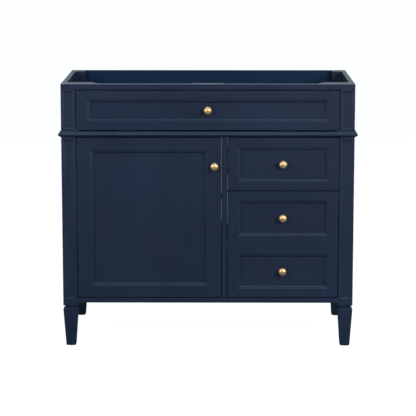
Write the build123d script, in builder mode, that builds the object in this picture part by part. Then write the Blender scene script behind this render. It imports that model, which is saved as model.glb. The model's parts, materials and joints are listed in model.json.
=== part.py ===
from build123d import *
import math
import os

os.makedirs("parts", exist_ok=True)

# A freestanding bathroom vanity cabinet without its countertop, in millimetres, with +Z up.
# The front faces -Y and the origin is on the floor, under the middle of the whole object.

# Driving dimensions
width = 914.0  # across the posts
depth = 457.0  # from the posts' front faces to the back
height = 835.0  # from the floor to the open rim
knob_reach = 26.0  # how far a knob stands out from the face that it is on
post_size = 46.0
post_foot = 133.0  # underside of the posts, where the legs begin
board = 15.0  # sides, bottom, partition, shelf and back rails
front_thickness = 20.0  # door, tip-out and drawer fronts
reveal = 2.25  # gap round the door and the drawer fronts
deck_bottom = 142.0  # underside of the bottom panel and of the sides
waist_low, waist_high = 670.0, 687.0  # rail and moulding between tip-out and door
top_rail_low = 818.0
partition_left, partition_right = 44.5, 59.5

# Positions that follow from them
front = (knob_reach - depth) / 2
back = front + depth
half = width / 2
inner = half - post_size  # inner faces of the posts
post_x = half - post_size / 2  # middles of the posts
side_face = half - board  # inner faces of the side panels
deck_top = deck_bottom + board
face_back = front + front_thickness

# Edges, joints and fits
edge_round = 1.5
post_round = 1.2
board_ease = 0.8
joint_line = 0.5  # bevel where a rail meets a stile
glue_gap = 0.1  # between the walls of a box
touch = 0.01  # tolerance when edges are chosen by place

# Routed fields in the posts and sides
field_border = 6.5
field_depth = 3.0
field_bevel = 4.0
field_spans = ((155.0, 661.0), (695.5, 813.0))
field_taper = math.degrees(math.atan(field_bevel / field_depth))
side_field_border = 16.0

# Legs
neck_size = 32.0
neck_low = 126.5
shoulder = 120.5
toe_size = 30.5
toe_chamfer = 2.5
leg_foot = 1.5
glide_radius = 10.0
glide_height = 3.5
glide_recess_radius = 10.5
glide_pin_radius, glide_pin_top = 2.0, 16.0
glide_pin_hole_radius, glide_pin_hole_top = 2.1, 17.0
glide_chamfer = 0.8
bolt_radius, bolt_hole_radius = 4.0, 4.1
bolt_down, bolt_up = 38.0, 44.0
bolt_hole_spare = 2.0

# Framed fronts
sticking = 9.5  # moulded inner edge of a frame
sticking_bevel = 2.2
sticking_step = 1.4
sticking_shelf = 1.4
sticking_depth = 6.4
sticking_radius = 7.0
overcut = 1.0  # how far a cutting profile runs past the face that it cuts
groove_face, groove_back = 7.1, 13.3  # depths behind the front face
groove_reach = 8.0
panel_face, panel_back = 7.2, 13.2
panel_reach = 7.5

# Door
door_x = (-inner + reveal, partition_left - reveal)
door_z = (159.5, 667.5)
door_stile, door_rail = 42.0, 38.5
door_knob_at = (20.5, 579.0)

# Tip-out front
tip_x = (-inner + reveal, inner - reveal)
tip_z = (691.5, 815.0)
tip_stile, tip_rail = 33.0, 27.5
tip_knob_at = (0.0, 754.0)

# Drawer fronts
drawer_x = (partition_right + reveal, inner - reveal)
upper_z = (501.25, 667.5)
middle_z = (328.5, 498.75)
lowest_z = (159.5, 328.0)
drawer_stile, drawer_rail = 31.0, 28.5
drawer_knob_x = 235.0
drawer_knob_heights = (585.0, 414.5, 244.0)

# Drawer boxes and slides
slide_width = 12.7
box_x = (partition_right + slide_width, inner - slide_width)
box_y = (face_back, front + 370.0)
upper_box_z, lower_box_z = (521.0, 641.0), (181.0, 421.0)
box_wall, box_floor = 12.0, 6.0
floor_rise, floor_reach, floor_play = 10.0, 6.0, 0.1
slide_gauge = 1.2
slide_start, slide_length = front + 22.0, 350.0
slide_heights = {"upper": 572.0, "lower": 311.0}
# Each slide member: clear of the wall by, reach from the wall, height, start and length
outer_member = (0.0, 9.5, 45.0, slide_start, slide_length)
middle_member = (3.0, 10.7, 39.0, slide_start + 2.0, slide_length - 10.0)
inner_member = (6.0, slide_width, 32.0, slide_start, slide_length - 2.0)
spacer_half = 30.0

# Tray behind the tip-out front
tray_x = (-350.0, 350.0)
tray_y = (face_back, front + 110.0)
tray_z = (701.0, 758.0)
tray_wall, tray_floor = 9.0, 5.0
catch_half, catch_reach, catch_drop, catch_gap = 50.0, 14.0, 12.0, 0.6

# Hinges
cup_heights = (door_z[0] + 90.0, door_z[1] - 90.0)
cup_inset = 22.5  # from the door's edge to the middle of the cup
pivot_inset, pivot_behind = 20.5, 10.0
cup_bore_radius, cup_radius, cup_bore_behind = 17.5, 17.3, 6.0
cup_floor = 1.0
cup_pocket_x = (-13.3, 16.6)  # from the pivot
cup_pocket_half = 7.2
cup_flange_x = (-21.5, 16.5)  # from the middle of the cup
cup_flange_half, cup_flange_gauge = 23.0, 1.2
arm_height, arm_gauge, arm_eye = 13.0, 4.0, 2.5
# The arm's bends after the pivot, as inward and backward steps from the door's front left corner
arm_bends = ((37.0, 25.0), (40.0, 31.0), (34.0, 39.0), (10.0, 41.0))
arm_run = 4.0
arm_run_y = (46.0, 96.0)
arm_bend_radius = 2.5
hinge_pin_radius, hinge_pin_hole = 1.5, 1.55
hinge_pin_half = 11.0
hinge_plate_z = 11.0
filler_y = (front + post_size, front + 120.0)
plate_y = (front + 54.0, front + 98.0)
butt_length, butt_gauge = 60.0, 1.0
butt_x = (-250.0, 250.0)
butt_radius, butt_bore, butt_pin = 1.8, 1.05, 1.0
butt_axis_y = front - 1.0
butt_axis_z = (waist_high + tip_z[0]) / 2
butt_leaf_back = front + 17.0
knuckle_gap = 0.45
knuckle_clear = 1.3

# Moulding
nose_reach = 10.0
nose_mid, nose_blunt = 7.5, 1.2
nose_lip = 1.5

# Rails, blocks, shelf and screw holes
back_rail_drop = 100.0
back_rail_rise = 99.0
top_rail_depth, waist_depth, bottom_rail_depth = 20.0, 40.0, 30.0
block_thickness, block_depth = 18.0, 62.0
block_shoulder, block_tip = 363.0, 340.0
counter_hole_x, counter_hole_y, counter_hole_radius = 387.0, front + 41.0, 2.5
wall_hole_x, wall_hole_z, wall_hole_radius = 203.2, 785.0, 2.75
shelf_low = 326.0
shelf_x = (-side_face + 1.5, partition_left - 1.0)
shelf_y = (front + 125.0, front + 365.0)
pin_y = (front + 165.0, front + 325.0)
pin_radius, pin_hole_radius, pin_hole_depth, pin_out = 2.5, 2.6, 9.0, 8.0
pin_steps = (-64.0, -32.0, 0.0, 32.0, 64.0)
pin_play = 0.05
pin_height = shelf_low - pin_radius - pin_play

# Knob
knob_base, knob_foot = 7.0, 1.5
knob_neck, knob_head, knob_tip = 4.6, 12.5, 0.6
knob_neck_low, knob_neck_high = 5.5, 10.0
knob_rim, knob_band = 17.5, 1.2
knob_cove, knob_flare = (5.2, 3.0), (6.8, 14.0)


def save(piece, name):
    """Label a finished piece and write it as a STEP file."""
    piece.part.label = name
    export_step(piece.part, f"parts/{name}.step")


def block(x, y, z, mode=Mode.ADD):
    """Fill the spans x, y and z of the piece being built."""
    with Locations((x[0], y[0], z[0])):
        Box(x[1] - x[0], y[1] - y[0], z[1] - z[0], align=(Align.MIN,) * 3, mode=mode)


def mirrored(span, side):
    """The span at +X, or its mirror image when side is -1."""
    return tuple(sorted(side * x for x in span))


def rod(start, direction, radius, length, mode=Mode.ADD):
    """Add or cut a round bar from start along direction."""
    with BuildSketch(Plane(origin=start, z_dir=direction)) as section:
        Circle(radius)
    extrude(section.sketch, amount=length, mode=mode)


def looking_in(origin, direction):
    """A plane whose normal points along direction and whose own y axis is up."""
    normal = Vector(*direction)
    return Plane(origin=origin, x_dir=Vector(0, 0, 1).cross(normal), z_dir=normal)


def rout_fields(plane, field_width):
    """Cut the upper and lower shallow fields into the face on the plane."""
    with BuildSketch(plane) as fields:
        for low, high in field_spans:
            with Locations((0, (low + high) / 2)):
                Rectangle(field_width, high - low)
    extrude(fields.sketch, amount=field_depth, taper=field_taper, mode=Mode.SUBTRACT)


# ---------------------------------------------------------------- posts and legs
corners = {
    "front_left": (-1, front + post_size / 2),
    "front_right": (1, front + post_size / 2),
    "rear_left": (-1, back - post_size / 2),
    "rear_right": (1, back - post_size / 2),
}
# Height and width of a leg from its toe to its neck
leg_levels = (
    (leg_foot, toe_size - 2 * toe_chamfer),
    (leg_foot + toe_chamfer, toe_size),
    (shoulder, post_size),
    (neck_low, neck_size),
    (post_foot, neck_size),
)

for corner, (side, y) in corners.items():
    with BuildPart() as post:
        with BuildSketch(Plane.XY.offset(post_foot)):
            with Locations((side * post_x, y)):
                RectangleRounded(post_size, post_size, post_round)
        extrude(amount=height - post_foot)
        rout_fields(looking_in((side * half, y, 0), (-side, 0, 0)), post_size - 2 * field_border)
        if corner.startswith("front"):
            rout_fields(looking_in((side * post_x, front, 0), (0, 1, 0)), post_size - 2 * field_border)
        hole_top = bolt_up + bolt_hole_spare
        rod((side * post_x, y, post_foot), (0, 0, 1), bolt_hole_radius, hole_top, Mode.SUBTRACT)
    save(post, f"{corner}_post")

    with BuildPart() as leg:
        for (low, wide), (high, narrow) in zip(leg_levels, leg_levels[1:]):
            for level, size in ((low, wide), (high, narrow)):
                with BuildSketch(Plane.XY.offset(level)):
                    with Locations((side * post_x, y)):
                        RectangleRounded(size, size, post_round)
            loft()
        hole_depth = bolt_down + bolt_hole_spare
        rod((side * post_x, y, post_foot), (0, 0, -1), bolt_hole_radius, hole_depth, Mode.SUBTRACT)
        recess = glide_height - leg_foot
        rod((side * post_x, y, leg_foot), (0, 0, 1), glide_recess_radius, recess, Mode.SUBTRACT)
        pin_room = glide_pin_hole_top - leg_foot
        rod((side * post_x, y, leg_foot), (0, 0, 1), glide_pin_hole_radius, pin_room, Mode.SUBTRACT)
    save(leg, f"{corner}_leg")

with BuildPart() as leg_bolts:
    for side, y in corners.values():
        rod((side * post_x, y, post_foot - bolt_down), (0, 0, 1), bolt_radius, bolt_down + bolt_up)
save(leg_bolts, "leg_bolts")

with BuildPart() as foot_glides:
    for side, y in corners.values():
        rod((side * post_x, y, 0), (0, 0, 1), glide_radius, glide_height)
    soles = foot_glides.faces().filter_by(Axis.Z).group_by(Axis.Z)[0]
    chamfer(soles.edges(), length=glide_chamfer)
    for side, y in corners.values():
        rod((side * post_x, y, glide_height), (0, 0, 1), glide_pin_radius, glide_pin_top - glide_height)
save(foot_glides, "foot_glides")

# ---------------------------------------------------------------- sides, bottom, partition, shelf
panel_y = (front + post_size, back - post_size)

for name, side in (("left_side_panel", -1), ("right_side_panel", 1)):
    with BuildPart() as panel:
        block(mirrored((side_face, half), side), panel_y, (deck_bottom, height))
        middle = (panel_y[0] + panel_y[1]) / 2
        field = panel_y[1] - panel_y[0] - 2 * side_field_border
        rout_fields(looking_in((side * half, middle, 0), (-side, 0, 0)), field)
        if side < 0:
            for y in pin_y:
                for step in pin_steps:
                    start = (-side_face, y, pin_height + step)
                    rod(start, (-1, 0, 0), pin_hole_radius, pin_hole_depth, Mode.SUBTRACT)
    save(panel, name)

with BuildPart() as bottom_panel:
    block((-inner, inner), (front + bottom_rail_depth, back), (deck_bottom, deck_top))
    block((-side_face, side_face), panel_y, (deck_bottom, deck_top))
save(bottom_panel, "bottom_panel")

with BuildPart() as centre_partition:
    block((partition_left, partition_right), (front, back - board), (deck_top, waist_low))
    for y in pin_y:
        for step in pin_steps:
            start = (partition_left, y, pin_height + step)
            rod(start, (1, 0, 0), pin_hole_radius, pin_hole_depth, Mode.SUBTRACT)
save(centre_partition, "centre_partition")

with BuildPart() as shelf:
    block(shelf_x, shelf_y, (shelf_low, shelf_low + board))
    chamfer(shelf.edges().filter_by(Axis.X), length=board_ease)
save(shelf, "shelf")

with BuildPart() as shelf_pins:
    pin_length = pin_hole_depth + pin_out
    for y in pin_y:
        rod((-side_face - pin_hole_depth, y, pin_height), (1, 0, 0), pin_radius, pin_length)
        rod((partition_left + pin_hole_depth, y, pin_height), (-1, 0, 0), pin_radius, pin_length)
save(shelf_pins, "shelf_pins")

with BuildPart() as side_filler_strips:
    block((-side_face, -inner), filler_y, (deck_top, waist_low))
    for centre in slide_heights.values():
        block((inner, side_face), panel_y, (centre - spacer_half, centre + spacer_half))
save(side_filler_strips, "side_filler_strips")

# ---------------------------------------------------------------- rails and moulding
rail_x = (-inner, inner)

with BuildPart() as top_front_rail:
    block(rail_x, (front, front + top_rail_depth), (top_rail_low, height))
    chamfer(top_front_rail.edges().filter_by(Axis.X).group_by(Axis.Y)[0], length=board_ease)
save(top_front_rail, "top_front_rail")

with BuildPart() as top_back_rail:
    block(rail_x, (back - board, back), (height - back_rail_drop, height))
    for x in (-wall_hole_x, wall_hole_x):
        rod((x, back, wall_hole_z), (0, -1, 0), wall_hole_radius, board, Mode.SUBTRACT)
save(top_back_rail, "top_back_rail")

with BuildPart() as waist_rail:
    block(rail_x, (front, front + waist_depth), (waist_low, waist_high))
save(waist_rail, "waist_rail")

with BuildPart() as bottom_front_rail:
    block(rail_x, (front, front + bottom_rail_depth), (deck_bottom, deck_top))
    chamfer(bottom_front_rail.edges().filter_by(Axis.X).group_by(Axis.Y)[0], length=board_ease)
save(bottom_front_rail, "bottom_front_rail")

with BuildPart() as bottom_back_rail:
    block(rail_x, (back - board, back), (deck_top, deck_top + back_rail_rise))
save(bottom_back_rail, "bottom_back_rail")


def nose_profile(plane):
    """Section of the V-nosed moulding, on a plane whose own x axis points outwards."""
    with BuildSketch(plane) as section:
        with BuildLine():
            Polyline(
                (0, waist_low),
                (nose_lip, waist_low),
                (nose_reach - nose_blunt, waist_low + nose_mid - nose_blunt),
            )
            ThreePointArc(
                (nose_reach - nose_blunt, waist_low + nose_mid - nose_blunt),
                (nose_reach, waist_low + nose_mid),
                (nose_reach - nose_blunt, waist_low + nose_mid + nose_blunt),
            )
            Polyline(
                (nose_reach - nose_blunt, waist_low + nose_mid + nose_blunt),
                (nose_lip, waist_high),
                (0, waist_high),
                (0, waist_low),
            )
        make_face()
    return section.sketch


with BuildPart() as front_moulding:
    outwards = Plane(origin=(0, front, 0), x_dir=(0, -1, 0), z_dir=(-1, 0, 0))
    extrude(nose_profile(outwards), amount=half + nose_reach, both=True)
    for side in (-1, 1):
        mitre = Plane(origin=(side * half, front, 0), z_dir=(-side, -1, 0))
        split(bisect_by=mitre, keep=Keep.TOP)
save(front_moulding, "front_moulding")

for name, side in (("left_moulding", -1), ("right_moulding", 1)):
    with BuildPart() as moulding:
        along = Plane(origin=(side * half, back, 0), x_dir=(side, 0, 0), z_dir=(0, -side, 0))
        extrude(nose_profile(along), amount=side * (depth + nose_reach))
        mitre = Plane(origin=(side * half, front, 0), z_dir=(side, 1, 0))
        split(bisect_by=mitre, keep=Keep.TOP)
    save(moulding, name)

with BuildPart() as corner_blocks:
    with BuildSketch(Plane.XY.offset(height - block_thickness)):
        for side in (-1, 1):
            with BuildLine():
                Polyline(
                    (side * block_tip, front + top_rail_depth),
                    (side * inner, front + top_rail_depth),
                    (side * inner, front + post_size),
                    (side * side_face, front + post_size),
                    (side * side_face, front + block_depth),
                    (side * block_shoulder, front + block_depth),
                    close=True,
                )
            make_face()
    extrude(amount=block_thickness)
    for x in (-counter_hole_x, counter_hole_x):
        rod((x, counter_hole_y, height), (0, 0, -1), counter_hole_radius, block_thickness, Mode.SUBTRACT)
save(corner_blocks, "corner_blocks")


# ---------------------------------------------------------------- framed fronts
def frame_member(start, along, length, flat, lead):
    """Add one stile or rail of a framed front.

    It runs from its outer corner start in the direction along. The flat is its plain width, and
    lead is how far the crossing members' flats cover its ends, which is nothing on a rail.
    """
    face = Plane(origin=start, x_dir=along, z_dir=(0, -1, 0))
    lip = flat + sticking
    outline = [(0, 0), (length, 0), (length, flat)]
    outline += [(length - lead - sticking, lip), (lead + sticking, lip), (0, flat)]
    if lead:
        outline.insert(3, (length - lead, flat))
        outline.insert(6, (lead, flat))
    with BuildSketch(face) as blank:
        with BuildLine():
            Polyline(*outline, close=True)
        make_face()
    extrude(blank.sketch, amount=-front_thickness)
    section = Plane(origin=start, x_dir=face.y_dir, z_dir=face.x_dir)
    quirk = flat + sticking_bevel + sticking_shelf
    with BuildSketch(section) as cut:
        with BuildLine():
            Polyline((flat, 0), (flat + sticking_bevel, -sticking_step), (quirk, -sticking_step))
            RadiusArc((quirk, -sticking_step), (lip, -sticking_depth), sticking_radius)
            Polyline(
                (lip, -sticking_depth),
                (lip + overcut, -sticking_depth),
                (lip + overcut, overcut),
                (flat, overcut),
                (flat, 0),
            )
        make_face()
        with Locations((lip + (overcut - groove_reach) / 2, -(groove_face + groove_back) / 2)):
            Rectangle(groove_reach + overcut, groove_back - groove_face)
    extrude(cut.sketch, amount=length, mode=Mode.SUBTRACT)
    if not lead:
        joint = Plane(origin=start, x_dir=along, z_dir=-face.y_dir)
        with BuildSketch(joint) as bevels:
            for end, inwards in ((0, joint_line), (length, -joint_line)):
                with BuildLine():
                    Polyline((end, 0), (end + inwards, 0), (end, -joint_line), close=True)
                make_face()
        extrude(bevels.sketch, amount=-flat, mode=Mode.SUBTRACT)


def stile(x, z, flat, rail_flat, side):
    """Add the left (-1) or right (+1) stile of the frame that fills x by z."""
    tall = z[1] - z[0]
    if side < 0:
        frame_member((x[0], front, z[1]), (0, 0, -1), tall, flat, rail_flat)
    else:
        frame_member((x[1], front, z[0]), (0, 0, 1), tall, flat, rail_flat)


def rails(x, z, stile_flat, flat):
    """Add the two rails of the frame that fills x by z, between its stiles."""
    wide = x[1] - x[0] - 2 * stile_flat
    frame_member((x[0] + stile_flat, front, z[0]), (1, 0, 0), wide, flat, 0)
    frame_member((x[1] - stile_flat, front, z[1]), (-1, 0, 0), wide, flat, 0)


def front_edges(piece, x, z):
    """The edges on the front face whose middles lie on one of the lines x or z."""
    chosen = []
    for edge in piece.edges():
        middle = edge.center()
        on_line = any(abs(middle.X - a) < touch for a in x) or any(abs(middle.Z - a) < touch for a in z)
        if abs(middle.Y - front) < touch and on_line:
            chosen.append(edge)
    return chosen


def frame_panel(x, z, stile_flat, rail_flat):
    """Add the flat panel that sits in the grooves of the frame that fills x by z."""
    inset_x = stile_flat + sticking - panel_reach
    inset_z = rail_flat + sticking - panel_reach
    block(
        (x[0] + inset_x, x[1] - inset_x),
        (front + panel_face, front + panel_back),
        (z[0] + inset_z, z[1] - inset_z),
    )


def knob(x, z, behind):
    """Add a domed round knob whose foot stands on the face that lies behind the front face."""
    seat = Plane(origin=(x, front + behind, z), x_dir=(1, 0, 0), z_dir=(0, 0, -1))
    with BuildSketch(seat) as section:
        with BuildLine():
            Polyline((0, 0), (knob_base, 0), (knob_base, knob_foot))
            ThreePointArc((knob_base, knob_foot), knob_cove, (knob_neck, knob_neck_low))
            Line((knob_neck, knob_neck_low), (knob_neck, knob_neck_high))
            ThreePointArc((knob_neck, knob_neck_high), knob_flare, (knob_head, knob_rim - knob_band))
            Line((knob_head, knob_rim - knob_band), (knob_head, knob_rim))
            dome = (knob_head - knob_tip, knob_reach - knob_rim)
            EllipticalCenterArc((knob_tip, knob_rim), *dome, arc_size=90)
            Polyline((knob_tip, knob_reach), (0, knob_reach), (0, 0))
        make_face()
    revolve(section.sketch, axis=Axis((x, front + behind, z), (0, -1, 0)))


for name, side in (("door_hinge_stile", -1), ("door_knob_stile", 1)):
    with BuildPart() as upright:
        stile(door_x, door_z, door_stile, door_rail, side)
        fillet(front_edges(upright, door_x, door_z), radius=edge_round)
        if side < 0:
            bore = front_thickness - cup_bore_behind
            for z in cup_heights:
                start = (door_x[0] + cup_inset, face_back, z)
                rod(start, (0, -1, 0), cup_bore_radius, bore, Mode.SUBTRACT)
    save(upright, name)

fronts = {
    "tip_out": ((tip_x, tip_z),),
    "upper_drawer": ((drawer_x, upper_z),),
    "lower_drawer": ((drawer_x, middle_z), (drawer_x, lowest_z)),
}
flats = {
    "tip_out": (tip_stile, tip_rail),
    "upper_drawer": (drawer_stile, drawer_rail),
    "lower_drawer": (drawer_stile, drawer_rail),
}

for name, frames in fronts.items():
    stile_flat, rail_flat = flats[name]
    with BuildPart() as uprights:
        for x, z in frames:
            for side in (-1, 1):
                stile(x, z, stile_flat, rail_flat, side)
        for x, z in frames:
            fillet(front_edges(uprights, x, z), radius=edge_round)
    save(uprights, f"{name}_stiles")

for name, frames in {**fronts, "door": ((door_x, door_z),)}.items():
    stile_flat, rail_flat = flats.get(name, (door_stile, door_rail))
    with BuildPart() as crossbars:
        for x, z in frames:
            rails(x, z, stile_flat, rail_flat)
        for x, z in frames:
            fillet(front_edges(crossbars, (), z), radius=edge_round)
    save(crossbars, f"{name}_rails")

    with BuildPart() as field_panel:
        for x, z in frames:
            frame_panel(x, z, stile_flat, rail_flat)
    save(field_panel, f"{name}_panels" if len(frames) > 1 else f"{name}_panel")

knobs = {
    "door_knob": ((*door_knob_at, 0.0),),
    "tip_out_knob": ((*tip_knob_at, panel_face),),
    "upper_drawer_knob": ((drawer_knob_x, drawer_knob_heights[0], panel_face),),
    "lower_drawer_knobs": tuple((drawer_knob_x, z, panel_face) for z in drawer_knob_heights[1:]),
}
for name, places in knobs.items():
    with BuildPart() as pull:
        for x, z, behind in places:
            knob(x, z, behind)
    save(pull, name)


# ---------------------------------------------------------------- drawer boxes, tray and slides
def box_walls(x, y, z, wall, floor):
    """Add two side walls and two end walls, grooved inside for the floor."""
    block((x[0], x[0] + wall), y, z)
    block((x[1] - wall, x[1]), y, z)
    between = (x[0] + wall + glue_gap, x[1] - wall - glue_gap)
    block(between, (y[0], y[0] + wall), z)
    block(between, (y[1] - wall, y[1]), z)
    reach = floor_reach + floor_play
    block(
        (x[0] + wall - reach, x[1] - wall + reach),
        (y[0] + wall - reach, y[1] - wall + reach),
        (z[0] + floor_rise - floor_play, z[0] + floor_rise + floor + floor_play),
        Mode.SUBTRACT,
    )


def box_floor_panel(x, y, z, wall, floor):
    """Add the floor that sits in the grooves of the walls."""
    inset = wall - floor_reach
    block(
        (x[0] + inset, x[1] - inset),
        (y[0] + inset, y[1] - inset),
        (z[0] + floor_rise, z[0] + floor_rise + floor),
    )


boxes = {
    "upper_drawer_box": (box_x, box_y, upper_box_z, box_wall, box_floor),
    "lower_drawer_box": (box_x, box_y, lower_box_z, box_wall, box_floor),
    "tip_out_tray": (tray_x, tray_y, tray_z, tray_wall, tray_floor),
}
for name, sizes in boxes.items():
    with BuildPart() as walls:
        box_walls(*sizes)
    save(walls, f"{name}_walls")
    with BuildPart() as base:
        box_floor_panel(*sizes)
    save(base, f"{name}_floor")


def slide_member(member, centre):
    """Add a channel of both slides at one height: the web stands at one end of its reach."""
    near, far, tall, start, length = member
    web_at_wall = member is not inner_member
    for wall, inwards in ((partition_right, 1), (inner, -1)):
        if web_at_wall:
            web = (near, near + slide_gauge)
        else:
            web = (far - slide_gauge, far)
        y = (start, start + length)
        spans = [(web, (-tall / 2, tall / 2))]
        for edge in (-tall / 2, tall / 2 - slide_gauge):
            spans.append(((near, far), (edge, edge + slide_gauge)))
        for (a, b), (low, high) in spans:
            x = tuple(sorted((wall + inwards * a, wall + inwards * b)))
            block(x, y, (centre + low, centre + high))


with BuildPart() as slide_outer_members:
    for centre in slide_heights.values():
        slide_member(outer_member, centre)
save(slide_outer_members, "slide_outer_members")

for level, centre in slide_heights.items():
    with BuildPart() as middles:
        slide_member(middle_member, centre)
    save(middles, f"{level}_slide_middle_members")
    with BuildPart() as inners:
        slide_member(inner_member, centre)
    save(inners, f"{level}_slide_inner_members")

with BuildPart() as tip_out_catch:
    with BuildSketch(Plane.YZ):
        with BuildLine():
            Polyline(
                (face_back, top_rail_low),
                (face_back, height),
                (face_back + catch_reach, height),
                (face_back + catch_reach, top_rail_low - catch_drop),
                (face_back + catch_gap, top_rail_low - catch_drop),
                (face_back + catch_gap, top_rail_low),
                close=True,
            )
        make_face()
    extrude(amount=catch_half, both=True)
save(tip_out_catch, "tip_out_catch")

# ---------------------------------------------------------------- door hinges
pivot = (door_x[0] + pivot_inset, front + pivot_behind)

with BuildPart() as door_hinge_cups:
    for z in cup_heights:
        centre = (door_x[0] + cup_inset, front + cup_bore_behind, z)
        rod(centre, (0, 1, 0), cup_radius, front_thickness - cup_bore_behind)
        flange_x = (centre[0] + cup_flange_x[0], centre[0] + cup_flange_x[1])
        flange_z = (z - cup_flange_half, z + cup_flange_half)
        block(flange_x, (face_back, face_back + cup_flange_gauge), flange_z)
        block(
            (pivot[0] + cup_pocket_x[0], pivot[0] + cup_pocket_x[1]),
            (front + cup_bore_behind + cup_floor, face_back + cup_flange_gauge),
            (z - cup_pocket_half, z + cup_pocket_half),
            Mode.SUBTRACT,
        )
        rod((*pivot, z - hinge_pin_half), (0, 0, 1), hinge_pin_radius, 2 * hinge_pin_half)
save(door_hinge_cups, "door_hinge_cups")

with BuildPart() as door_hinge_arms:
    for z in cup_heights:
        corner = Plane(origin=(door_x[0], front, z - arm_height / 2))
        with BuildSketch(corner) as bent:
            with BuildLine():
                FilletPolyline(
                    (pivot_inset, pivot_behind),
                    *arm_bends,
                    (arm_run, arm_run_y[0]),
                    (arm_run, arm_run_y[1]),
                    radius=arm_bend_radius,
                )
            trace(line_width=arm_gauge)
            with Locations((pivot_inset, pivot_behind)):
                Circle(arm_eye)
                Circle(hinge_pin_hole, mode=Mode.SUBTRACT)
        extrude(bent.sketch, amount=arm_height)
save(door_hinge_arms, "door_hinge_arms")

with BuildPart() as door_hinge_plates:
    arm_face = door_x[0] + arm_run - arm_gauge / 2
    for z in cup_heights:
        block((-inner, arm_face), plate_y, (z - hinge_plate_z, z + hinge_plate_z))
save(door_hinge_plates, "door_hinge_plates")


# ---------------------------------------------------------------- tip-out hinges
def knuckle(start, length):
    """Add one round knuckle of a butt hinge along X."""
    rod((start, butt_axis_y, butt_axis_z), (1, 0, 0), butt_radius, length)


def bore_knuckles(centre, radius):
    """Clear the pin's way through a whole hinge."""
    start = (centre - butt_length / 2, butt_axis_y, butt_axis_z)
    rod(start, (1, 0, 0), radius, butt_length, Mode.SUBTRACT)


third = butt_length / 3
with BuildPart() as fixed_leaves:
    for centre in butt_x:
        low = centre - butt_length / 2
        leaf_z = (waist_high, waist_high + butt_gauge)
        block((low, low + butt_length), (front + knuckle_clear, butt_leaf_back), leaf_z)
        for start in (low, low + 2 * third + knuckle_gap):
            knuckle(start, third - knuckle_gap)
            ear = (start, start + third - knuckle_gap)
            block(ear, (butt_axis_y, front + knuckle_clear), leaf_z)
        bore_knuckles(centre, butt_bore)
        rod((low, butt_axis_y, butt_axis_z), (1, 0, 0), butt_pin, butt_length)
save(fixed_leaves, "tip_out_hinge_fixed_leaves")

with BuildPart() as moving_leaves:
    for centre in butt_x:
        low = centre - butt_length / 2
        leaf_z = (tip_z[0] - butt_gauge, tip_z[0])
        block((low, low + butt_length), (front + knuckle_clear, butt_leaf_back), leaf_z)
        knuckle(low + third, third)
        block((low + third, low + 2 * third), (butt_axis_y, front + knuckle_clear), leaf_z)
        bore_knuckles(centre, butt_bore)
save(moving_leaves, "tip_out_hinge_moving_leaves")
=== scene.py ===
import json
import math

import bmesh
import bpy
from mathutils import Matrix, Vector


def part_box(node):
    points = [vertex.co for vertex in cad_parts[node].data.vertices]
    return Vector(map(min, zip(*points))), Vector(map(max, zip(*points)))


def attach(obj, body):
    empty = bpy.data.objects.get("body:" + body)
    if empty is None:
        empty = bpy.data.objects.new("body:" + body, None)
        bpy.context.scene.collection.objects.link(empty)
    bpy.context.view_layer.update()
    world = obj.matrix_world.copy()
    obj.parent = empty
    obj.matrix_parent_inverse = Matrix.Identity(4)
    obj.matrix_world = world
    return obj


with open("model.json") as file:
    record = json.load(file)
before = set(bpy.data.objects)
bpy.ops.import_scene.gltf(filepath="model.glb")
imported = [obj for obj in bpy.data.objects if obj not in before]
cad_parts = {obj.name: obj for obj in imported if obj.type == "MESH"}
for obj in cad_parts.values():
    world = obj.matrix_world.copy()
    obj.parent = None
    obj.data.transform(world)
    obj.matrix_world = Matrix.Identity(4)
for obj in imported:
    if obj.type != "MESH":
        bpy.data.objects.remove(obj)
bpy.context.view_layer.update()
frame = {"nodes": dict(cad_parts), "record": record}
nodes = frame["nodes"]

# A navy vanity cabinet without its countertop. It faces -Y and stands on z = 0, in metres.

# ---------------------------------------------------------------- camera
eye = Vector((0.0322, -5.651, 1.406))
aim = Vector((0.0006, -0.2155, 0.5253))
camera_data = bpy.data.cameras.new("camera")
camera_data.lens = 152.5
camera_data.shift_y = -0.06
camera = bpy.data.objects.new("camera", camera_data)
camera.location = eye
camera.rotation_euler = (aim - eye).to_track_quat("-Z", "Y").to_euler()
bpy.context.scene.collection.objects.link(camera)
bpy.context.scene.camera = camera
bpy.context.scene.view_settings.view_transform = "Standard"


# ---------------------------------------------------------------- materials
def add_node(tree, kind, settings=None, **inputs):
    """Add a shader node; an input is a value or another node's output."""
    made = tree.nodes.new(kind)
    for key, value in (settings or {}).items():
        setattr(made, key, value)
    for key, value in inputs.items():
        socket = made.inputs[key.replace("_", " ")]
        if isinstance(value, bpy.types.NodeSocket):
            tree.links.new(value, socket)
        else:
            socket.default_value = value
    return made


def start_material(name):
    """An empty node material, with its tree and its Principled shader."""
    material = bpy.data.materials.new(name)
    material.use_nodes = True
    tree = material.node_tree
    tree.nodes.clear()
    shader = tree.nodes.new("ShaderNodeBsdfPrincipled")
    output = tree.nodes.new("ShaderNodeOutputMaterial")
    tree.links.new(shader.outputs["BSDF"], output.inputs["Surface"])
    return material, tree, shader


def stretched(tree, scale=(1, 1, 1)):
    """Object coordinates multiplied by scale, so that a small number is a long grain."""
    coords = tree.nodes.new("ShaderNodeTexCoord")
    mapping = add_node(tree, "ShaderNodeMapping", Vector=coords.outputs["Object"], Scale=scale)
    return mapping.outputs["Vector"]


def grained(tree, axis, across, along):
    """Object coordinates for a grain that runs along the axis, 0 for X to 2 for Z."""
    scale = [across] * 3
    scale[axis] = along
    return stretched(tree, tuple(scale))


def noise(tree, vector, scale, detail, rough=0.5):
    """The grey value of a noise texture."""
    made = add_node(tree, "ShaderNodeTexNoise", Vector=vector, Scale=scale, Detail=detail,
                    Roughness=rough)
    return made.outputs["Fac"]


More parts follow.
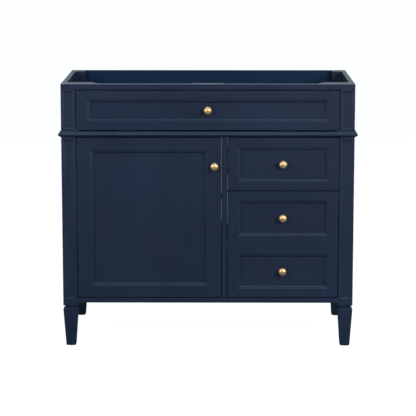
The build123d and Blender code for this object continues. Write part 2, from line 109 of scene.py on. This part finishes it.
def plus_share(tree, base, added, share):
    """The base value plus a share of the added one."""
    made = add_node(tree, "ShaderNodeMath", {"operation": "MULTIPLY_ADD"})
    tree.links.new(added, made.inputs[0])
    made.inputs[1].default_value = share
    tree.links.new(base, made.inputs[2])
    return made.outputs[0]


def ramp(tree, factor, first, last):
    """A colour ramp between two (position, colour) stops."""
    made = add_node(tree, "ShaderNodeValToRGB", Fac=factor)
    for element, (position, colour) in zip(made.color_ramp.elements, (first, last)):
        element.position = position
        element.color = (*colour, 1)
    return made.outputs["Color"]


def spread(tree, factor, low, high):
    """Map a 0 to 1 factor to the range low to high."""
    made = add_node(tree, "ShaderNodeMapRange", Value=factor, To_Min=low, To_Max=high)
    return made.outputs["Result"]


def bump(tree, height, strength, distance, normal=None):
    """A normal bumped by the height, on top of another bump's normal where one is given."""
    made = add_node(tree, "ShaderNodeBump", Height=height, Strength=strength, Distance=distance)
    if normal is not None:
        tree.links.new(normal, made.inputs["Normal"])
    return made.outputs["Normal"]


def navy_paint(name, axis, deep, pale, gloss):
    """Satin navy lacquer sprayed on wood whose fine grain runs along the axis."""
    material, tree, shader = start_material(name)
    plain = stretched(tree)
    drift = noise(tree, plain, scale=3.5, detail=3)
    streak = noise(tree, grained(tree, axis, across=60, along=2.5), scale=1, detail=4, rough=0.6)
    tone = ramp(tree, plus_share(tree, drift, streak, share=0.5), (0.45, deep), (1.0, pale))
    tree.links.new(tone, shader.inputs["Base Color"])
    haze = noise(tree, plain, scale=9, detail=4)
    tree.links.new(spread(tree, haze, low=0.30, high=0.42), shader.inputs["Roughness"])
    shader.inputs["Specular IOR Level"].default_value = gloss
    pores = noise(tree, grained(tree, axis, across=900, along=18), scale=1, detail=3, rough=0.6)
    peel = noise(tree, plain, scale=650, detail=1)
    grain = bump(tree, pores, strength=0.16, distance=0.0004)
    skin = bump(tree, peel, strength=0.06, distance=0.0005, normal=grain)
    tree.links.new(skin, shader.inputs["Normal"])
    return material


def brass(name):
    """Satin brass, turned, with fine rings round the knob's own axis."""
    material, tree, shader = start_material(name)
    deep, bright = (0.86, 0.46, 0.18), (0.95, 0.60, 0.29)
    patina = noise(tree, stretched(tree), scale=90, detail=4, rough=0.6)
    tone = ramp(tree, patina, (0.3, deep), (0.75, bright))
    tree.links.new(tone, shader.inputs["Base Color"])
    shader.inputs["Metallic"].default_value = 0.82
    tree.links.new(spread(tree, patina, low=0.34, high=0.46), shader.inputs["Roughness"])
    turning = noise(tree, grained(tree, 1, across=60, along=4000), scale=1, detail=2)
    tree.links.new(bump(tree, turning, strength=0.08, distance=0.0002), shader.inputs["Normal"])
    return material


def zinc_steel(name):
    """Zinc-plated steel with faint crystals and rolling marks."""
    material, tree, shader = start_material(name)
    dull, bright = (0.50, 0.51, 0.53), (0.66, 0.67, 0.68)
    plain = stretched(tree)
    spangle = add_node(tree, "ShaderNodeTexVoronoi", Vector=plain, Scale=260.0)
    tone = ramp(tree, spangle.outputs["Distance"], (0.0, dull), (0.9, bright))
    tree.links.new(tone, shader.inputs["Base Color"])
    shader.inputs["Metallic"].default_value = 1.0
    film = noise(tree, plain, scale=40, detail=4)
    tree.links.new(spread(tree, film, low=0.26, high=0.44), shader.inputs["Roughness"])
    rolled = noise(tree, grained(tree, 1, across=1500, along=30), scale=1, detail=2)
    tree.links.new(bump(tree, rolled, strength=0.08, distance=0.0002), shader.inputs["Normal"])
    return material


def wood_grain(tree, axis, across, along):
    """Coordinates for a grain along the axis; without an axis, along each wall of a box."""
    if axis is not None:
        return grained(tree, axis, across, along)
    normal = add_node(tree, "ShaderNodeTexCoord").outputs["Normal"]
    parts = add_node(tree, "ShaderNodeSeparateXYZ")
    tree.links.new(normal, parts.inputs[0])
    lateral = add_node(tree, "ShaderNodeMath", {"operation": "ABSOLUTE"})
    tree.links.new(parts.outputs["Y"], lateral.inputs[0])
    pick = add_node(tree, "ShaderNodeMix", {"data_type": "VECTOR"})
    side_wall, end_wall, picked = pick.inputs[4], pick.inputs[5], pick.outputs[1]
    tree.links.new(lateral.outputs[0], pick.inputs["Factor"])
    tree.links.new(grained(tree, 1, across, along), side_wall)
    tree.links.new(grained(tree, 0, across, along), end_wall)
    return picked


def bare_wood(name, axis, dark, light):
    """Clear-coated wood, with its rings and pores as wood_grain lays them."""
    material, tree, shader = start_material(name)
    warp = noise(tree, wood_grain(tree, axis, across=9, along=0.9), scale=1, detail=3)
    lines = noise(tree, wood_grain(tree, axis, across=110, along=3.0), scale=1, detail=6, rough=0.62)
    tone = ramp(tree, plus_share(tree, lines, warp, share=0.8), (0.6, dark), (1.0, light))
    tree.links.new(tone, shader.inputs["Base Color"])
    pores = noise(tree, wood_grain(tree, axis, across=1400, along=30), scale=1, detail=2)
    tree.links.new(spread(tree, pores, low=0.42, high=0.6), shader.inputs["Roughness"])
    tree.links.new(bump(tree, lines, strength=0.12, distance=0.0004), shader.inputs["Normal"])
    return material


def black_plastic(name):
    """Moulded black plastic with a fine matt texture."""
    material, tree, shader = start_material(name)
    dark, dusty = (0.012, 0.012, 0.013), (0.035, 0.034, 0.033)
    plain = stretched(tree)
    grime = noise(tree, plain, scale=60, detail=4)
    tree.links.new(ramp(tree, grime, (0.3, dark), (0.8, dusty)), shader.inputs["Base Color"])
    tree.links.new(spread(tree, grime, low=0.42, high=0.6), shader.inputs["Roughness"])
    spark = noise(tree, plain, scale=2200, detail=1)
    tree.links.new(bump(tree, spark, strength=0.15, distance=0.0003), shader.inputs["Normal"])
    return material


def black_steel(name):
    """Steel under a thin black phosphate coat, rubbed paler in places."""
    material, tree, shader = start_material(name)
    dark, rubbed = (0.004, 0.004, 0.005), (0.014, 0.014, 0.016)
    plain = stretched(tree)
    rub = noise(tree, plain, scale=120, detail=4, rough=0.65)
    tree.links.new(ramp(tree, rub, (0.35, dark), (0.85, rubbed)), shader.inputs["Base Color"])
    tree.links.new(spread(tree, rub, low=0.7, high=0.5), shader.inputs["Roughness"])
    shader.inputs["Specular IOR Level"].default_value = 0.15
    crystal = noise(tree, plain, scale=1800, detail=2)
    tree.links.new(bump(tree, crystal, strength=0.1, distance=0.0002), shader.inputs["Normal"])
    return material


def felt(name):
    """Charcoal pile: short fibres over a mottled ground."""
    material, tree, shader = start_material(name)
    dark, pale = (0.006, 0.006, 0.006), (0.028, 0.026, 0.024)
    mottle = noise(tree, stretched(tree), scale=220, detail=5, rough=0.7)
    tree.links.new(ramp(tree, mottle, (0.3, dark), (0.75, pale)), shader.inputs["Base Color"])
    tree.links.new(spread(tree, mottle, low=0.85, high=1.0), shader.inputs["Roughness"])
    shader.inputs["Specular IOR Level"].default_value = 0.1
    fibres = noise(tree, grained(tree, 2, across=3000, along=900), scale=1, detail=4, rough=0.7)
    tree.links.new(bump(tree, fibres, strength=0.5, distance=0.0005), shader.inputs["Normal"])
    return material


deep_navy, pale_navy = (0.0101, 0.0163, 0.0352), (0.0159, 0.0240, 0.0490)
paint = {axis: navy_paint(f"navy_paint_{letter}", axis, deep_navy, pale_navy, gloss=0.32)
         for axis, letter in enumerate("xyz")}
# Painted shade: a more saturated, less glossy copy of the navy for the back rails, standing in for how
# they look in shade with little reflected haze.
back_rail_shade_deep, back_rail_shade_pale = (0.0055, 0.0175, 0.0430), (0.0080, 0.0225, 0.0520)
back_rail_shade_paint = navy_paint("navy_paint_inside", 0, back_rail_shade_deep, back_rail_shade_pale, gloss=0.1)
brass_material = brass("satin_brass")
steel_material = zinc_steel("zinc_steel")
dark_steel_material = black_steel("black_steel")
# The dark felt of the strips that stand in for the shade in the gaps beside the partition.
gap_shade_felt = felt("charcoal_felt")
birch_dark, birch_light = (0.30, 0.19, 0.10), (0.56, 0.41, 0.25)
box_wood = bare_wood("drawer_wood", None, birch_dark, birch_light)
ply_dark, ply_light = (0.42, 0.29, 0.16), (0.66, 0.51, 0.32)
plywood = bare_wood("birch_plywood", 0, ply_dark, ply_light)
plastic = black_plastic("glide_plastic")

finish_of = {entry["node"]: entry["material_slot"] for entry in frame["record"]["subparts"]}
unpainted = {"satin_brass": brass_material, "zinc_steel": steel_material, "plywood": plywood,
             "drawer_wood": box_wood, "black_steel": dark_steel_material, "glide_plastic": plastic}


def long_axis(name):
    """The axis along which a node is longest: 0 for X, 1 for Y, 2 for Z."""
    low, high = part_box(name)
    size = [high[i] - low[i] for i in range(3)]
    return size.index(max(size))


def grain_axis(name):
    """The axis along which a painted node's grain runs."""
    lengthwise = ("rail", "moulding", "corner", "strips", "shelf", "bottom_panel")
    if any(word in name for word in lengthwise):
        return long_axis(name)
    crosswise = ("tip_out_panel", "tip_out_catch", "upper_drawer_panel", "lower_drawer_panels")
    return 0 if name in crosswise else 2


def finish(name):
    """The material for a CAD node."""
    # The back rails take the shaded copy of the navy, which stands in for their shade.
    if name.endswith("back_rail"):
        return back_rail_shade_paint
    slot = finish_of[name]
    return paint[grain_axis(name)] if slot == "navy_paint" else unpainted[slot]


for name, piece in nodes.items():
    piece.data.materials.clear()
    piece.data.materials.append(finish(name))


# ---------------------------------------------------------------- shapes of the small hardware
mm = 0.001
left, right = Vector((-1, 0, 0)), Vector((1, 0, 0))
forward, backward = Vector((0, -1, 0)), Vector((0, 1, 0))
up, down = Vector((0, 0, 1)), Vector((0, 0, -1))


def facing(point, direction):
    """A frame at the point, whose own z axis runs along the direction."""
    return Matrix.Translation(point) @ direction.to_track_quat("Z", "Y").to_matrix().to_4x4()


def frame_at(point, x_axis, y_axis, z_axis):
    """A frame at the point, with the given axes."""
    return Matrix.Translation(point) @ Matrix((x_axis, y_axis, z_axis)).transposed().to_4x4()


def lathe(bm, place, profile, steps=24):
    """Revolve (radius, height) points about the frame's z axis; returns the last, open ring."""
    rings = []
    for radius, height in profile:
        ring = []
        for step in range(steps):
            turn = 2 * math.pi * step / steps
            point = Vector((radius * math.cos(turn), radius * math.sin(turn), height))
            ring.append(bm.verts.new(place @ point))
        rings.append(ring)
    for lower, upper in zip(rings, rings[1:]):
        for i in range(steps):
            j = (i + 1) % steps
            bm.faces.new((lower[i], lower[j], upper[j], upper[i]))
    bm.faces.new(rings[0][::-1])
    return rings[-1]


def button(bm, point, direction, profile):
    """A closed turned shape on the point, through (radius, height) points in millimetres."""
    sized = [(radius * mm, height * mm) for radius, height in profile]
    bm.faces.new(lathe(bm, facing(point, direction), sized))


def prism(bm, place, outline, length):
    """Extrude a closed outline of the frame's x and y along its z axis."""
    ends = [[bm.verts.new(place @ Vector((x, y, z))) for x, y in outline] for z in (0.0, length)]
    count = len(outline)
    for i in range(count):
        j = (i + 1) % count
        bm.faces.new((ends[0][i], ends[0][j], ends[1][j], ends[1][i]))
    bm.faces.new(ends[0][::-1])
    bm.faces.new(ends[1])


def rounded_bar(width, rise, corner):
    """Outline of a bar whose two outer corners are rounded."""
    corner_steps = 4
    outline = [(0, 0)]
    for middle, start in (((corner, rise - corner), 180), ((width - corner, rise - corner), 90)):
        for step in range(corner_steps + 1):
            turn = math.radians(start - 90 * step / corner_steps)
            outline.append((middle[0] + corner * math.cos(turn), middle[1] + corner * math.sin(turn)))
    outline.append((width, 0))
    return outline


def eased_rail(bm, start, end, y, thick, low, high):
    """A rail along the x axis whose four long edges are eased."""
    ease, far = 1.5 * mm, y + thick
    outline = [(y + ease, low), (far - ease, low), (far, low + ease), (far, high - ease),
               (far - ease, high), (y + ease, high), (y, high - ease), (y, low + ease)]
    prism(bm, frame_at(Vector((start, 0, 0)), backward, up, right), outline, end - start)


def screw(bm, point, direction, radius, rise):
    """A pan-headed screw with a cross recess; its shank is out of sight."""
    place = facing(point, direction)
    dome = ((1.0, -0.1), (1.0, 0.35), (0.94, 0.62), (0.8, 0.85), (0.62, 1.0))
    rim = lathe(bm, place, [(radius * r, rise * h) for r, h in dome])
    arm, half, floor = 0.44 * radius, 0.11 * radius, 0.35 * rise
    quarter = ((arm, -half), (arm, half), (half, half))
    cross = []
    for turn in range(4):
        for x, y in quarter:
            cross.append(Matrix.Rotation(turn * math.pi / 2, 2) @ Vector((x, y)))
    upper = [bm.verts.new(place @ Vector((x, y, rise))) for x, y in cross]
    lower = [bm.verts.new(place @ Vector((x, y, floor))) for x, y in cross]
    for i in range(len(cross)):
        j = (i + 1) % len(cross)
        bm.faces.new((upper[i], upper[j], lower[j], lower[i]))
    bm.faces.new(lower)
    edges = []
    for ring in (rim, upper):
        for i in range(len(ring)):
            edges.append(bm.edges.get((ring[i], ring[(i + 1) % len(ring)])))
    bmesh.ops.triangle_fill(bm, use_beauty=True, edges=edges)


def add_piece(name, bm, body, material):
    """Turn the mesh into a piece that rides on the body, in the given material."""
    crease = math.radians(35)
    bmesh.ops.recalc_face_normals(bm, faces=bm.faces)
    mesh = bpy.data.meshes.new(name)
    bm.to_mesh(mesh)
    bm.free()
    mesh.materials.append(material)
    mesh.shade_smooth()
    mesh.set_sharp_from_angle(angle=crease)
    piece = bpy.data.objects.new(name, mesh)
    bpy.context.scene.collection.objects.link(piece)
    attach(piece, body)


def add_screws(name, body, places, radius, rise):
    """One piece of identical screw heads at (point, direction) places."""
    bm = bmesh.new()
    for point, direction in places:
        screw(bm, point, direction, radius, rise)
    add_piece(name, bm, body, steel_material)


# ---------------------------------------------------------------- small hardware
def vectors(box):
    """The low and high corners of a box, as vectors."""
    return Vector(box[0]), Vector(box[1])


def box_middle(name):
    """The middle of a node's box."""
    low, high = vectors(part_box(name))
    return (low + high) / 2


partition_low, partition_high = vectors(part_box("centre_partition"))
waist_low, waist_high = vectors(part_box("waist_rail"))
door_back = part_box("door_knob_stile")[1][1]
shelf_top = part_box("shelf")[1][2]
slides = {level: box_middle(f"{level}_slide_inner_members") for level in ("upper", "lower")}
slide_walls = ((partition_high.x, right), (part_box("slide_outer_members")[1][0], left))
box_wall, tray_wall = 12 * mm, 9 * mm
catch_low, catch_height, strike_thick = 472 * mm, 17 * mm, 1.2 * mm
# The front face of the rails behind the fronts, and the room they leave beside the partition.
hidden_face, partition_gap = door_back + 14 * mm, 4 * mm


def gap_shade_strip(bm, side, low, high, rise):
    """A dark strip of pile up one face of the partition, just behind the fronts, standing in for the
    shade seen through the gap.
    """
    wide, corner, set_back = 12 * mm, 0.5 * mm, 1.2 * mm
    x = partition_low.x if side is left else partition_high.x
    place = frame_at(Vector((x, door_back + set_back, low)), backward, side, up)
    prism(bm, place, rounded_bar(wide, rise, corner), high - low)


def add_gap_shade_strips():
    """Dark pile strips that close most of the gaps beside the partition, clear of the slides; they
    stand in for the shade seen through the gaps, and their rises set how much light gets through.
    """
    full_rise, door_rise, drawer_rise, middle_rise = 2.5 * mm, 2.0 * mm, 2.1 * mm, 2.13 * mm
    slide_room = 24 * mm
    middle_low = slides["upper"].z - 186 * mm
    bm = bmesh.new()
    gap_shade_strip(bm, left, shelf_top, partition_high.z, door_rise)
    gap_shade_strip(bm, left, partition_low.z, shelf_top, full_rise)
    add_piece("door_gap_shade_strip", bm, "cabinet", gap_shade_felt)
    bm = bmesh.new()
    gap_shade_strip(bm, right, slides["upper"].z + slide_room, partition_high.z, drawer_rise)
    gap_shade_strip(bm, right, middle_low, slides["upper"].z - slide_room, middle_rise)
    gap_shade_strip(bm, right, slides["lower"].z + slide_room, middle_low, full_rise)
    gap_shade_strip(bm, right, partition_low.z, slides["lower"].z - slide_room, full_rise)
    add_piece("drawer_gap_shade_strips", bm, "cabinet", gap_shade_felt)


def add_tip_out_seal():
    """A black bead along the waist rail, behind the tip-out front's lower edge."""
    radius, foot, set_back, half_length = 3 * mm, 3.2 * mm, 3 * mm, 405 * mm
    arc_steps = 8
    outline = [(0, 0)]
    for step in range(arc_steps + 1):
        turn = math.radians(180 - 180 * step / arc_steps)
        outline.append((radius + radius * math.cos(turn), foot + radius * math.sin(turn)))
    outline.append((2 * radius, 0))
    bm = bmesh.new()
    start = Vector((half_length, door_back + set_back, waist_high.z))
    prism(bm, frame_at(start, backward, up, left), outline, 2 * half_length)
    add_piece("tip_out_seal", bm, "cabinet", plastic)


def add_door_catch():
    """A magnetic catch on the partition, which stops just short of the door's strike plate."""
    wide, deep, corner, clear = 22 * mm, 24 * mm, 2 * mm, 0.5 * mm
    screw_runs = (5 * mm, 17 * mm)
    front = door_back + strike_thick + clear
    bm = bmesh.new()
    place = frame_at(Vector((partition_low.x, front + deep, catch_low)), left, forward, up)
    prism(bm, place, rounded_bar(wide, deep, corner), catch_height)
    add_piece("door_catch", bm, "cabinet", plastic)
    face, middle = partition_low.x - wide, catch_low + catch_height / 2
    places = [(Vector((face, front + run, middle)), left) for run in screw_runs]
    add_screws("door_catch_screws", "cabinet", places, radius=3 * mm, rise=1.6 * mm)


def add_strike_plate():
    """The steel plate on the door's back, which the catch holds."""
    wide, corner, inset = 18 * mm, 0.4 * mm, 2 * mm
    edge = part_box("door_knob_stile")[1][0] - inset
    bm = bmesh.new()
    place = frame_at(Vector((edge, door_back, catch_low + inset)), left, backward, up)
    prism(bm, place, rounded_bar(wide, strike_thick, corner), catch_height - 2 * inset)
    add_piece("door_strike_plate", bm, "door", steel_material)


def add_door_bumper():
    """A small domed stop on the partition, above the catch."""
    behind, above = 4.5 * mm, 41 * mm
    dome = ((3.2, -0.1), (3.2, 1.4), (2.7, 2.1), (1.6, 2.6))
    bm = bmesh.new()
    button(bm, Vector((partition_low.x, door_back + behind, catch_low + above)), left, dome)
    add_piece("door_bumper", bm, "cabinet", plastic)


def add_tip_out_lips():
    """Painted lips behind the top rail, which close the gap over the tip-out front."""
    rail_low, rail_high = vectors(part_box("top_front_rail"))
    outer_end, catch_gap = 339 * mm, 1 * mm
    inner_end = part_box("tip_out_catch")[1][0] + catch_gap
    # Millimetres behind the rail's back face, and above its lower edge.
    section = ((0, 10), (0, 0.3), (0.8, 0), (0.8, -5.5), (2.6, -6), (3, 10))
    outline = [(rail_high.y + y * mm, rail_low.z + z * mm) for y, z in section]
    bm = bmesh.new()
    for start in (-outer_end, inner_end):
        place = frame_at(Vector((start, 0, 0)), backward, up, right)
        prism(bm, place, outline, outer_end - inner_end)
    add_piece("tip_out_lips", bm, "cabinet", paint[0])


def add_waist_stops():
    """Rails that reach down behind the fronts from the waist rail, beside the partition."""
    thick, drop = 6 * mm, 15 * mm
    spans = ((waist_low.x, partition_low.x - partition_gap),
             (partition_high.x + partition_gap, waist_high.x))
    bm = bmesh.new()
    for start, end in spans:
        eased_rail(bm, start, end, hidden_face, thick, waist_low.z - drop, waist_low.z)
    add_piece("waist_stops", bm, "cabinet", paint[0])


def add_drawer_divider():
    """A rail behind the joint between the drawers, with a thin tongue to the partition."""
    thick, below, above = 11 * mm, 15 * mm, 11 * mm
    tongue_inset, tongue_thick, tongue_low, tongue_high = 2 * mm, 7 * mm, 13 * mm, 5 * mm
    hair = 0.05 * mm
    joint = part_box("upper_drawer_rails")[0][2]
    shoulder = partition_high.x + partition_gap
    bm = bmesh.new()
    eased_rail(bm, shoulder, waist_high.x, hidden_face, thick, joint - below, joint + above)
    eased_rail(bm, partition_high.x, shoulder - hair, hidden_face + tongue_inset, tongue_thick,
               joint - tongue_low, joint - tongue_high)
    add_piece("drawer_divider", bm, "cabinet", paint[0])


def add_door_hinge_screws():
    """The screws of the door's concealed hinges: in their plates, their arms and their cups."""
    plate_low, plate_high = vectors(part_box("door_hinge_plates"))
    cup_low, cup_high = vectors(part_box("door_hinge_cups"))
    half_plate, arm_rise = 11 * mm, 4 * mm
    plate_spread, arm_spread, cup_spread = 8.9 * mm, 12 * mm, 19 * mm
    plate_y = (plate_low.y + plate_high.y) / 2
    cup_x = (cup_low.x + cup_high.x) / 2
    arm_x = plate_high.x + arm_rise
    on_plate, on_arm, on_cup = [], [], []
    for z in (plate_low.z + half_plate, plate_high.z - half_plate):
        for side in (-1, 1):
            on_plate.append((Vector((plate_high.x, plate_y, z + side * plate_spread)), right))
            on_arm.append((Vector((arm_x, plate_y + side * arm_spread, z)), right))
            on_cup.append((Vector((cup_x, cup_high.y, z + side * cup_spread)), backward))
    add_screws("door_hinge_plate_screws", "cabinet", on_plate, radius=1.9 * mm, rise=0.8 * mm)
    add_screws("door_hinge_arm_screws", "cabinet", on_arm, radius=2.8 * mm, rise=1.4 * mm)
    add_screws("door_hinge_cup_screws", "door", on_cup, radius=3.2 * mm, rise=1.2 * mm)


def add_butt_hinge_screws():
    """Three screws in each leaf of the tip-out's two butt hinges."""
    gauge, half_leaf, pitch, back_inset = 1 * mm, 30 * mm, 20 * mm, 7 * mm
    fixed_face = waist_high.z + gauge
    moving_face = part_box("tip_out_rails")[0][2] - gauge
    for name, body, node, z, direction in (
        ("butt_fixed_screws", "cabinet", "tip_out_hinge_fixed_leaves", fixed_face, up),
        ("butt_moving_screws", "tip_out_front", "tip_out_hinge_moving_leaves", moving_face, down),
    ):
        low, high = vectors(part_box(node))
        places = []
        for centre in (low.x + half_leaf, high.x - half_leaf):
            for step in (-pitch, 0, pitch):
                places.append((Vector((centre + step, high.y - back_inset, z)), direction))
        add_screws(name, body, places, radius=2.9 * mm, rise=0.6 * mm)


def add_ball_cages(level, centre):
    """Rows of steel balls in the track between a slide's middle and inner members."""
    ball, track, from_wall = 0.8 * mm, 17.15 * mm, 8.5 * mm
    lead, pitch, count = 20 * mm, 14 * mm, 18
    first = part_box(f"{level}_slide_middle_members")[0][1] + lead
    bm = bmesh.new()
    for wall, inwards in slide_walls:
        for side in (-1, 1):
            for step in range(count):
                point = Vector((wall, first + step * pitch, centre.z + side * track))
                place = Matrix.Translation(point + inwards * from_wall)
                bmesh.ops.create_icosphere(bm, subdivisions=2, radius=ball, matrix=place)
    add_piece(f"{level}_slide_balls", bm, f"{level}_slide_middles", steel_material)


def add_slide_hardware():
    """Screws through the slides' webs, and the ball cages that run in their middle members."""
    outer_web, inner_web = 1.2 * mm, 11.5 * mm
    runs, stagger = (35 * mm, 165 * mm, 310 * mm), 12 * mm
    radius, rise = 3.2 * mm, 1.1 * mm
    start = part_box("slide_outer_members")[0][1]
    on_wall = []
    for level, centre in slides.items():
        on_drawer = []
        for wall, inwards in slide_walls:
            for run in runs:
                outer = Vector((wall, start + run, centre.z)) + inwards * outer_web
                on_wall.append((outer, inwards))
                inner = Vector((wall, start + run - stagger, centre.z)) + inwards * inner_web
                on_drawer.append((inner, -inwards))
        add_screws(f"{level}_slide_drawer_screws", f"{level}_drawer", on_drawer, radius, rise)
        add_ball_cages(level, centre)
    add_screws("slide_wall_screws", "cabinet", on_wall, radius, rise)


def add_knob_screws():
    """The screw behind each knob, with its washer."""
    box_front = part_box("upper_drawer_box_walls")[0][1] + box_wall
    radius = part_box("door_knob")[1][0] - box_middle("door_knob").x
    low, high = vectors(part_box("lower_drawer_knobs"))
    door, upper = box_middle("door_knob"), box_middle("upper_drawer_knob")
    lower_x = box_middle("lower_drawer_knobs").x
    behind = {
        "door": [Vector((door.x, door_back, door.z))],
        "upper_drawer": [Vector((upper.x, box_front, upper.z))],
        "lower_drawer": [Vector((lower_x, box_front, z)) for z in (low.z + radius, high.z - radius)],
    }
    washer_top = 0.9
    washer = ((5.4, -0.1), (5.4, 0.7), (5.0, washer_top))
    for body, points in behind.items():
        bm = bmesh.new()
        for point in points:
            button(bm, point, backward, washer)
            seat = point + backward * washer_top * mm
            screw(bm, seat, backward, radius=3.9 * mm, rise=2.2 * mm)
        add_piece(f"{body}_knob_screws", bm, body, steel_material)


def add_front_screws():
    """The screws that hold the fronts to the drawer boxes and to the tray, seen inside them."""
    rows = {
        "upper_drawer": ("upper_drawer_box_walls", box_wall, (0.25, 0.75), 40 * mm),
        "lower_drawer": ("lower_drawer_box_walls", box_wall, (0.15, 0.5, 0.85), 40 * mm),
        "tip_out_front": ("tip_out_tray_walls", tray_wall, (0.6,), 60 * mm),
    }
    for body, (node, wall, levels, inset) in rows.items():
        low, high = vectors(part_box(node))
        places = []
        for level in levels:
            z = low.z + level * (high.z - low.z)
            for x in (low.x + inset, high.x - inset):
                places.append((Vector((x, low.y + wall, z)), backward))
        add_screws(f"{body}_fixing_screws", body, places, radius=3.6 * mm, rise=1.6 * mm)


add_gap_shade_strips()
add_tip_out_seal()
add_door_catch()
add_strike_plate()
add_door_bumper()
add_tip_out_lips()
add_waist_stops()
add_drawer_divider()
add_door_hinge_screws()
add_butt_hinge_screws()
add_slide_hardware()
add_knob_screws()
add_front_screws()


# ---------------------------------------------------------------- studio
def softbox(name, azimuth, elevation, distance, width, height, power, tint):
    """A soft light that faces the cabinet, azimuth degrees round from the front towards +X."""
    turn, rise = math.radians(azimuth), math.radians(elevation)
    flat = distance * math.cos(rise)
    target = Vector((0, 0, 0.45))
    place = target + Vector((flat * math.sin(turn), -flat * math.cos(turn), distance * math.sin(rise)))
    data = bpy.data.lights.new(name, "AREA")
    data.shape = "RECTANGLE"
    data.size, data.size_y = width, height
    data.energy = power
    data.color = tint
    lamp = bpy.data.objects.new(name, data)
    lamp.location = place
    lamp.rotation_euler = (target - place).to_track_quat("-Z", "Y").to_euler()
    lamp.visible_camera = False
    bpy.context.scene.collection.objects.link(lamp)


warm_white, pale_blue = (1.0, 0.98, 0.97), (0.76, 0.89, 1.0)
soft_blue, sky_blue = (0.55, 0.78, 1.0), (0.50, 0.76, 1.0)
# Degrees round and up, then distance, width and height in metres, watts, and tint.
softbox("left_softbox", -35, 20, 3.2, 1.0, 1.0, 34, warm_white)
softbox("right_softbox", 33, 20, 3.2, 1.0, 1.0, 56, warm_white)
softbox("front_softbox", 4, 44, 3.2, 1.8, 0.5, 13, soft_blue)
softbox("left_side_softbox", -68, 12, 3.2, 0.4, 1.8, 20, sky_blue)
softbox("right_side_softbox", 68, 12, 3.2, 0.4, 1.8, 20, sky_blue)
softbox("overhead_softbox", 0, 80, 2.6, 2.8, 1.8, 27, sky_blue)
softbox("back_softbox", 180, 42, 3.6, 3.0, 1.2, 50, pale_blue)


def studio_world():
    """White to the camera; as light on the cabinet, a bluish room, dim except at its back."""
    dim, bright, dim_until, bright_from = 0.035, 0.30, 0.1, 0.8
    bluish = (0.84, 0.93, 1, 1)
    world = bpy.data.worlds.new("studio")
    bpy.context.scene.world = world
    world.use_nodes = True
    tree = world.node_tree
    tree.nodes.clear()
    path = tree.nodes.new("ShaderNodeLightPath")
    coords = tree.nodes.new("ShaderNodeTexCoord")
    direction = add_node(tree, "ShaderNodeSeparateXYZ", Vector=coords.outputs["Generated"])
    depth = add_node(tree, "ShaderNodeMapRange", Value=direction.outputs["Y"], From_Min=dim_until,
                     From_Max=bright_from, To_Min=dim, To_Max=bright)
    room = add_node(tree, "ShaderNodeBackground", Color=bluish, Strength=depth.outputs["Result"])
    white = add_node(tree, "ShaderNodeBackground", Color=(1, 1, 1, 1), Strength=1.0)
    mix = add_node(tree, "ShaderNodeMixShader", Fac=path.outputs["Is Camera Ray"])
    tree.links.new(room.outputs[0], mix.inputs[1])
    tree.links.new(white.outputs[0], mix.inputs[2])
    output = tree.nodes.new("ShaderNodeOutputWorld")
    tree.links.new(mix.outputs[0], output.inputs["Surface"])


def paper_floor():
    """A wide plain floor, white to the camera and a dim blue-grey to everything else."""
    reach, white_level = 40.0, 0.975
    dark, light = (0.08, 0.15, 0.17), (0.10, 0.18, 0.20)
    mesh = bpy.data.meshes.new("floor")
    corners = [(-reach, -reach, 0), (reach, -reach, 0), (reach, reach, 0), (-reach, reach, 0)]
    mesh.from_pydata(corners, [], [(0, 1, 2, 3)])
    floor = bpy.data.objects.new("floor", mesh)
    bpy.context.scene.collection.objects.link(floor)
    material, tree, shader = start_material("paper")
    fibre = noise(tree, stretched(tree), scale=40, detail=3)
    tree.links.new(ramp(tree, fibre, (0.3, dark), (0.7, light)), shader.inputs["Base Color"])
    shader.inputs["Roughness"].default_value = 0.9
    shader.inputs["Specular IOR Level"].default_value = 0.0
    path = tree.nodes.new("ShaderNodeLightPath")
    glow = add_node(tree, "ShaderNodeMath", {"operation": "MULTIPLY"})
    tree.links.new(path.outputs["Is Camera Ray"], glow.inputs[0])
    glow.inputs[1].default_value = white_level
    shader.inputs["Emission Color"].default_value = (1, 1, 1, 1)
    tree.links.new(glow.outputs[0], shader.inputs["Emission Strength"])
    mesh.materials.append(material)


studio_world()
paper_floor()
